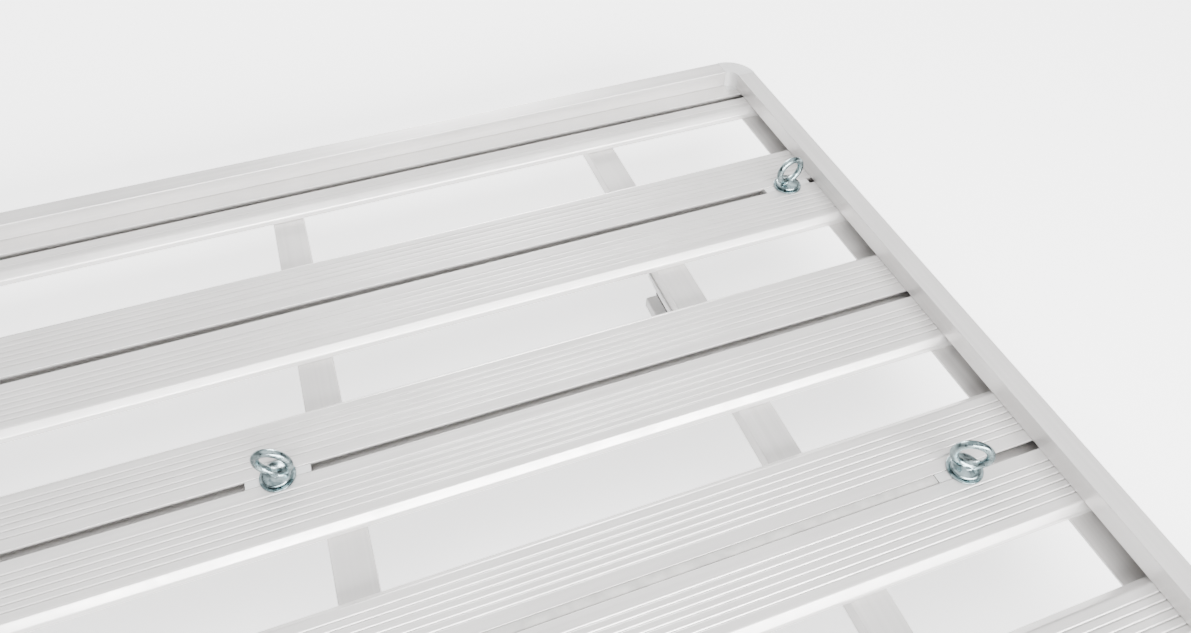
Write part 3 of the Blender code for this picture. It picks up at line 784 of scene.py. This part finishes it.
def bearer_outline(tray):
    """The bearer's section: a channel with its mouth underneath."""
    edge = tray.edge_radius
    low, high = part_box("bearer_middle")
    half = (high.x - low.x) / 2
    wall = BEARER_WALL
    mouth = BEARER_MOUTH_HALF
    right = [
        (half, high.z, RAIL_EDGE_RADIUS), (half, low.z, RAIL_EDGE_RADIUS),
        (mouth, low.z, edge), (mouth, low.z + wall, edge),
        (half - wall, low.z + wall, edge), (half - wall, high.z - wall, edge)]
    return right + [(-across, up, radius) for across, up, radius in reversed(right)]


class ROOFTRAY_OT_bearers(bpy.types.Operator):
    """Build the bearers, their end caps and the stud strips inside them"""

    bl_idname = "rooftray.bearers"
    bl_label = "Bearers"

    def execute(self, context):
        tray = context.scene.roof_tray
        for name in BEARERS:
            node = "bearer_" + name
            low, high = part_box(node)
            place = lengthwise_section(middle(node).x, low.y, 0.0)
            work = extrude_outline(bearer_outline(tray), place, Y_AXIS * (high.y - low.y))
            piece("channel_" + node, work, "aluminium_lengthwise", "tray", [node])
            for end, sign in ENDS.items():
                self.build_cap("bearer_cap_%s_%s" % (end, name), sign)
            self.build_stud_strip("stud_strip_" + name)
        return {"FINISHED"}

    @staticmethod
    def build_cap(node, sign):
        """A moulded end plate with a recess in its face and a plug behind it."""
        low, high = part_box(node)
        rear = sign > 0
        plate_low = Vector((low.x, high.y - CAP_PLATE if rear else low.y, low.z))
        plate_high = Vector((high.x, high.y if rear else low.y + CAP_PLATE, high.z))
        plate = rounded_box(plate_low, plate_high, 0.0011, 3)
        face = max(plate.faces, key=lambda f: sign * f.calc_center_median().y * f.calc_area())
        bmesh.ops.inset_region(plate, faces=[face], thickness=0.003, depth=0.0)
        bmesh.ops.inset_region(plate, faces=[face], thickness=0.0006, depth=-0.0006)
        half = (high.x - low.x) / 2 - BEARER_WALL - GAP
        root = CAP_PLATE - CAP_OVERLAP
        spot = middle(node)
        plug_low = Vector((spot.x - half, low.y if rear else low.y + root,
                           low.z + BEARER_WALL + GAP))
        plug_high = Vector((spot.x + half, high.y - root if rear else high.y, spot.z - GAP))
        plug = rounded_box(plug_low, plug_high, 0.0006)
        piece("moulded_" + node, together([plate, plug]), "black_plastic", "tray", [node])

    @staticmethod
    def build_stud_strip(node):
        """A strip inside a bearer with a stud through the foot of every plank's slot."""
        low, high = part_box(node)
        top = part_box("bearer_middle")[1].z - BEARER_WALL - GAP
        under = top - STUD_STRIP_THICK
        rivet = [(0.0, under - 0.0016), (0.0042, under - 0.0014), (0.0048, under - 0.0008),
                 (0.0048, under + 0.0004), (0.0, under + 0.0004)]
        works = [rounded_box((low.x, low.y, under), (high.x, high.y, top), 0.0004)]
        for plank in ALL_PLANKS:
            spot = Vector((middle(node).x, slot_line(plank), 0.0))
            works.append(cylinder(spot, STUD_RADIUS, (under + top) / 2, high.z, 24))
            works.append(turned(rivet, spot, steps=24))
        piece("pressed_" + node, together(works), "stainless", "tray", [node])


def button_screw(centre, axis, radius=0.0055, height=0.0032):
    """A domed screw head with a round socket, standing on a surface."""
    socket_floor = height - 0.0018
    profile = [(0.0, socket_floor), (0.0019, socket_floor), (0.0019, height - 0.0002),
               (0.0022, height)]
    for degrees in (58, 42, 26, 10):
        angle = math.radians(degrees)
        profile.append((radius * math.cos(angle), height * (0.25 + 0.75 * math.sin(angle))))
    profile += [(radius, height * 0.12), (radius * 0.96, 0.0), (0.0, 0.0)]
    return turned(profile, centre, axis, 18)


class ROOFTRAY_OT_screws(bpy.types.Operator):
    """Build the screws that pin the rails to the corners and the planks"""

    bl_idname = "rooftray.screws"
    bl_label = "Rail Screws"

    def execute(self, context):
        height = (DECK_Z + RAIL_TOP_Z) / 2
        along_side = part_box("side_rail_right")[1].y - CORNER_SCREW_INSET
        along_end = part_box("end_rail_rear")[1].x - CORNER_SCREW_INSET
        heads = []
        for side in SIDES.values():
            for end in ENDS.values():
                y = end * along_side
                x = side * along_end
                heads.append(button_screw((side * OUTER_X, y, height), X_AXIS * side))
                heads.append(button_screw((x, end * OUTER_Y, height), Y_AXIS * end))
        piece("corner_screws", together(heads), "stainless", "tray")
        heads = []
        for side in SIDES.values():
            x = side * (OUTER_X - RAIL_WIDTH / 2)
            for plank in ALL_PLANKS:
                heads.append(button_screw((x, slot_line(plank), RAIL_BOTTOM_Z), -Z_AXIS))
        piece("plank_screws", together(heads), "stainless", "tray")
        return {"FINISHED"}


# ---- tie-down eyes --------------------------------------------------------------------


class ROOFTRAY_OT_tie_downs(bpy.types.Operator):
    """Build the forged eye bolts, their washers and channel nuts"""

    bl_idname = "rooftray.tie_downs"
    bl_label = "Tie-down Eyes"

    def execute(self, context):
        for name in EYES:
            self.build_nut("channel_nut_" + name, "nut_" + name)
            self.build_washer("eye_washer_" + name, "nut_" + name)
            self.build_eye("eye_bolt_" + name, "eye_" + name)
        return {"FINISHED"}

    @staticmethod
    def build_nut(node, body):
        """A channel nut that fills the slot's neck and hooks under its lips."""
        low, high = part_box(node)
        neck = SLOT_HALF - GAP
        wide = SLOT_CAVITY_HALF - GAP
        shoulder = DECK_Z - SLOT_NECK - GAP
        edge = 0.0005
        right = [(neck, high.z, edge), (neck, shoulder, SHARP_RADIUS), (wide, shoulder, edge),
                 (wide, low.z, edge)]
        outline = right + [(-across, up, radius) for across, up, radius in reversed(right)]
        place = across_section(low.x, middle(node).y, 0.0)
        work = extrude_outline(outline, place, X_AXIS * (high.x - low.x))
        spot = middle(node)
        tool = cylinder((spot.x, spot.y, DECK_Z), STEM_RADIUS + 0.0004, -0.02, DRILL_OVERRUN, 32)
        piece("slotted_" + node, bored(work, tool), "cast_aluminium", body, [node])

    @staticmethod
    def build_washer(node, body):
        """A pressed washer with a rolled outer edge."""
        low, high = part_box(node)
        radius = (high.x - low.x) / 2
        bore = STEM_RADIUS + 0.0006
        thick = high.z - low.z
        soft = 0.0006
        chamfer = 0.0002
        profile = [(bore, thick - chamfer), (bore + chamfer, thick), (radius - soft, thick)]
        for degrees in (30, 60, 90):
            angle = math.radians(degrees)
            profile.append((radius - soft + soft * math.sin(angle),
                            thick - soft + soft * math.cos(angle)))
        profile += [(radius, 0.0003), (radius - 0.0003, 0.0), (bore + chamfer, 0.0),
                    (bore, chamfer)]
        spot = middle(node)
        work = turned(profile + profile[:1], (spot.x, spot.y, low.z), steps=64)
        piece("pressed_" + node, work, "zinc_plate", body, [node])

    @staticmethod
    def build_eye(node, body):
        """A ring that grows out of a round collar in one forging, with its stem."""
        low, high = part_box(node)
        joint = next(j for j in frame["joints"] if j["child"] == body)
        x, y = joint["pos_m"][0], joint["pos_m"][1]
        seat = DECK_Z + WASHER_THICK
        ring_z = high.z - EYE_RING_RADIUS - EYE_BAR_RADIUS
        ring = bmesh.new()
        bmesh.ops.create_circle(ring, cap_ends=False, segments=24, radius=EYE_BAR_RADIUS,
                                matrix=Matrix.Translation((EYE_RING_RADIUS, 0.0, 0.0)))
        bmesh.ops.spin(ring, geom=list(ring.verts) + list(ring.edges), cent=(0, 0, 0),
                       axis=(0, 1, 0), angle=2 * math.pi, steps=72, use_merge=True)
        bmesh.ops.remove_doubles(ring, verts=ring.verts, dist=MERGE_DISTANCE)
        turn = Matrix.Rotation(math.radians(EYE_TURNS[node]), 4, "Z")
        spot = Matrix.Translation((x, y, 0.0)) @ turn
        bmesh.ops.transform(ring, verts=ring.verts,
                            matrix=spot @ Matrix.Translation((0, 0, ring_z)))
        collar = turned([(radius, seat + up) for radius, up in COLLAR_PROFILE], (x, y, 0.0),
                        steps=72)
        blank = joined_forging(ring, collar)
        stem = cylinder((x, y, 0.0), STEM_RADIUS, low.z, seat + 0.001, 32)
        piece("forged_" + node, together([blank, stem]), "zinc_plate", body, [node], sharp=50.0)


def joined_forging(first, second):
    """Union two shapes, then remesh and relax them so that they flow together."""
    bmesh.ops.recalc_face_normals(first, faces=first.faces)
    bmesh.ops.recalc_face_normals(second, faces=second.faces)
    whole = temporary("forging", together([first, second]))
    remesh = whole.modifiers.new("skin", "REMESH")
    remesh.mode = "VOXEL"
    remesh.voxel_size = FORGING_VOXEL
    relax = whole.modifiers.new("relax", "SMOOTH")
    relax.factor = 0.5
    relax.iterations = 6
    return evaluated_copy("forging", whole)


class ROOFTRAY_OT_slot_infill(bpy.types.Operator):
    """Build the flexible strip that closes one T-slot beside its channel nut"""

    bl_idname = "rooftray.slot_infill"
    bl_label = "Slot Infill"

    def execute(self, context):
        low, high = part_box("slot_infill")
        half = (high.y - low.y) / 2
        soft = 0.0003
        right = [(0.0, high.z, 0.0), (half * 0.5, high.z - 0.00008, 0.0),
                 (half, high.z - soft, soft), (half, low.z, soft)]
        outline = right + [(-across, up, radius) for across, up, radius in reversed(right[1:])]
        place = across_section(low.x, middle("slot_infill").y, 0.0)
        work = extrude_outline(outline, place, X_AXIS * (high.x - low.x))
        piece("flexible_slot_infill", work, "grey_infill", "tray", ["slot_infill"])
        return {"FINISHED"}


# ---- crossbar clamps -------------------------------------------------------------------


def thread(x, y, low, high, radius, pitch=THREAD_PITCH, steps=18):
    """A helical ridge round a bolt's shank."""
    work = bmesh.new()
    turns = int((high - low) / pitch) - 1
    half = pitch * 0.42
    root = radius - 0.0008
    start = low + pitch * 0.6
    profile = [(root, -half), (radius, -half * 0.15), (radius, half * 0.15), (root, half)]
    verts = [work.verts.new((out, 0.0, start + up)) for out, up in profile]
    edges = [work.edges.new(pair) for pair in zip(verts, verts[1:] + verts[:1])]
    bmesh.ops.spin(
        work, geom=verts + edges, cent=(0, 0, 0), axis=(0, 0, 1), angle=2 * math.pi * turns,
        steps=steps * turns, dvec=(0, 0, pitch / steps))
    ends = [edge for edge in work.edges if edge.is_boundary]
    bmesh.ops.edgenet_fill(work, edges=ends)
    bmesh.ops.translate(work, verts=work.verts, vec=(x, y, 0.0))
    return work


class ROOFTRAY_OT_clamps(bpy.types.Operator):
    """Build the four crossbar clamps"""

    bl_idname = "rooftray.clamps"
    bl_label = "Crossbar Clamps"

    def execute(self, context):
        for tag in FEET:
            foot, clamp = "foot_" + tag, "clamp_" + tag
            spots = self.bolt_spots(tag)
            self.build_saddle("saddle_" + tag, foot, spots)
            self.build_pad("saddle_pad_" + tag, foot)
            self.build_bolts("clamp_bolts_" + tag, foot, spots)
            self.build_plate("clamp_plate_" + tag, clamp, spots)
            self.build_nut_bar("nut_bar_" + tag, clamp, spots)
        return {"FINISHED"}

    @staticmethod
    def bolt_spots(tag):
        """Where the two bolts of a clamp stand."""
        centre = middle("clamp_plate_" + tag)
        return [Vector((centre.x, centre.y + sign * BOLT_OFFSET, 0.0)) for sign in (-1, 1)]

    @staticmethod
    def drill(work, spots, low, high):
        """Bolt holes from below one face to above the other."""
        low, high = low - DRILL_OVERRUN, high + DRILL_OVERRUN
        return bored(work, together([cylinder(spot, HOLE_RADIUS, low, high, 32) for spot in spots]))

    def build_saddle(self, node, body, spots):
        """A casting that sits on the crossbar's pad and bolts up into the bearer."""
        low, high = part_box(node)
        half = (high.y - low.y) / 2
        flat = 0.034
        toe = high.z - 0.0064
        outline = [(-half, high.z, 0.001), (half, high.z, 0.001), (half, toe, 0.002),
                   (flat, low.z, 0.003), (-flat, low.z, 0.003), (-half, toe, 0.002)]
        place = across_section(low.x, middle(node).y, 0.0)
        work = extrude_outline(outline, place, X_AXIS * (high.x - low.x), 4)
        ends = [edge for edge in work.edges if edge.calc_face_angle(0.0) > 1.2]
        bmesh.ops.bevel(
            work, geom=ends, offset=RAIL_EDGE_RADIUS, offset_type="OFFSET", segments=3,
            profile=0.5, affect="EDGES", clamp_overlap=True, material=-1)
        work = self.drill(work, spots, low.z, high.z)
        piece("cast_" + node, work, "cast_aluminium", body, [node])

    @staticmethod
    def build_pad(node, body):
        """A rubber pad with grip ribs across it."""
        low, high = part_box(node)
        rib_height = 0.0008
        ribs = 11
        edge = 0.0004
        soft = 0.0003
        half = (high.y - low.y) / 2
        pitch = 2 * half / ribs
        root = low.z + rib_height
        outline = [(-half, high.z, edge), (half, high.z, edge)]
        for index in range(ribs):
            start = half - pitch * index
            outline += [(start, low.z, soft), (start - pitch * 0.62, low.z, soft)]
            if index < ribs - 1:
                outline += [(start - pitch * 0.68, root, soft), (start - pitch * 0.94, root, soft)]
        outline[-1] = (-half, low.z, edge)
        place = across_section(low.x, middle(node).y, 0.0)
        work = extrude_outline(outline, place, X_AXIS * (high.x - low.x), 2)
        piece("ribbed_" + node, work, "black_rubber", body, [node])

    @staticmethod
    def build_bolts(node, body, spots):
        """Two threaded studs hanging from the plate that slides in a bearer."""
        low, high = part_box(node)
        thick = 0.004
        core = BOLT_RADIUS - 0.0006
        top = high.z - thick / 2
        shank = [(0.0, low.z), (BOLT_RADIUS - 0.0012, low.z), (core, low.z + 0.0008),
                 (core, top), (0.0, top)]
        works = [rounded_box((low.x, low.y, high.z - thick), (high.x, high.y, high.z), 0.0005)]
        for spot in spots:
            works.append(turned(shank, spot, steps=24))
            works.append(thread(spot.x, spot.y, low.z + 0.0006, high.z - thick, BOLT_RADIUS))
        piece("threaded_" + node, together(works), "stainless", body, [node])

    def build_plate(self, node, body, spots):
        """A channel that closes on the crossbar from below."""
        low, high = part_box(node)
        half = (high.x - low.x) / 2
        wall = 0.003
        web = high.z - 0.004
        toe, root, bend = 0.0006, 0.0015, 0.003
        outline = [(-half, 0.0, toe), (-half + wall, 0.0, toe), (-half + wall, web, root),
                   (half - wall, web, root), (half - wall, 0.0, toe), (half, 0.0, toe),
                   (half, high.z, bend), (-half, high.z, bend)]
        place = lengthwise_section(middle(node).x, low.y, 0.0)
        work = extrude_outline(outline, place, Y_AXIS * (high.y - low.y), 5)
        work = self.drill(work, spots, web, high.z)
        piece("pressed_" + node, work, "cast_aluminium", body, [node])

    def build_nut_bar(self, node, body, spots):
        """The bar that the bolts' threads run in."""
        low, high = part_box(node)
        work = rounded_box(low, high, 0.0007)
        work = self.drill(work, spots, low.z, high.z)
        piece("tapped_" + node, work, "stainless", body, [node])


# ---- stage -------------------------------------------------------------------------------


class ROOFTRAY_OT_stage(bpy.types.Operator):
    """Set out the floor, the soft lights and the camera"""

    bl_idname = "rooftray.stage"
    bl_label = "Stage"

    def execute(self, context):
        self.build_floor(context.scene.roof_tray)
        self.build_lights(context)
        self.build_camera(context)
        return {"FINISHED"}

    @staticmethod
    def build_floor(tray):
        work = bmesh.new()
        bmesh.ops.create_grid(work, x_segments=1, y_segments=1, size=FLOOR_HALF)
        mesh = bpy.data.meshes.new("floor")
        work.to_mesh(mesh)
        work.free()
        made = Finish("floor_paint", tray.floor_colour, 0.9, 0.0)
        made.shader.inputs["Emission Color"].default_value = (1.0, 1.0, 1.0, 1.0)
        made.shader.inputs["Emission Strength"].default_value = FLOOR_GLOW
        mesh.materials.append(made.material)
        floor = bpy.data.objects.new("floor", mesh)
        floor.location.z = FLOOR_Z
        bpy.context.scene.collection.objects.link(floor)

    @staticmethod
    def build_lights(context):
        world = bpy.data.worlds.new("studio")
        world.use_nodes = True
        context.scene.world = world
        background = world.node_tree.nodes["Background"]
        background.inputs["Color"].default_value = (1.0, 1.0, 1.0, 1.0)
        background.inputs["Strength"].default_value = WORLD_STRENGTH
        for name, (place, aim, (width, height), power) in LAMPS.items():
            data = bpy.data.lights.new(name, type="AREA")
            data.shape = "RECTANGLE"
            data.size = width
            data.size_y = height
            data.energy = power
            lamp = bpy.data.objects.new(name, data)
            lamp.location = place
            lamp.rotation_mode = "QUATERNION"
            towards = Vector(aim) - Vector(place)
            lamp.rotation_quaternion = towards.to_track_quat("-Z", "Y")
            context.scene.collection.objects.link(lamp)

    @staticmethod
    def build_camera(context):
        data = bpy.data.cameras.new("camera")
        data.sensor_width = 36.0
        data.lens = CAMERA_LENS
        data.shift_x = CAMERA_SHIFT[0]
        data.shift_y = CAMERA_SHIFT[1]
        data.clip_start = 0.02
        data.clip_end = 60.0
        camera = bpy.data.objects.new("camera", data)
        turn = Matrix(CAMERA_AXES).transposed().to_4x4()
        camera.matrix_world = Matrix.Translation(CAMERA_PLACE) @ turn
        context.scene.collection.objects.link(camera)
        context.scene.camera = camera


class ROOFTRAY_PT_panel(bpy.types.Panel):
    """Lists the tray's pieces in the sidebar"""

    bl_idname = "ROOFTRAY_PT_panel"
    bl_label = "Roof Cargo Tray"
    bl_space_type = "VIEW_3D"
    bl_region_type = "UI"
    bl_category = "Roof Tray"

    def draw(self, context):
        tray = context.scene.roof_tray
        column = self.layout.column()
        for name in RoofTraySettings.__annotations__:
            column.prop(tray, name)
        for operator in OPERATORS:
            column.operator(operator.bl_idname)


OPERATORS = (
    ROOFTRAY_OT_planks,
    ROOFTRAY_OT_end_planks,
    ROOFTRAY_OT_rails,
    ROOFTRAY_OT_corners,
    ROOFTRAY_OT_bearers,
    ROOFTRAY_OT_screws,
    ROOFTRAY_OT_tie_downs,
    ROOFTRAY_OT_slot_infill,
    ROOFTRAY_OT_clamps,
    ROOFTRAY_OT_stage,
)
CLASSES = (RoofTraySettings, *OPERATORS, ROOFTRAY_PT_panel)


def register():
    for cls in CLASSES:
        bpy.utils.register_class(cls)
    bpy.types.Scene.roof_tray = PointerProperty(type=RoofTraySettings)


def unregister():
    del bpy.types.Scene.roof_tray
    for cls in reversed(CLASSES):
        bpy.utils.unregister_class(cls)


def main():
    """Build the tray and its stage."""
    register()
    bpy.ops.rooftray.planks()
    bpy.ops.rooftray.end_planks()
    bpy.ops.rooftray.rails()
    bpy.ops.rooftray.corners()
    bpy.ops.rooftray.bearers()
    bpy.ops.rooftray.screws()
    bpy.ops.rooftray.tie_downs()
    bpy.ops.rooftray.slot_infill()
    bpy.ops.rooftray.clamps()
    bpy.ops.rooftray.stage()


if __name__ == "__main__":
    main()
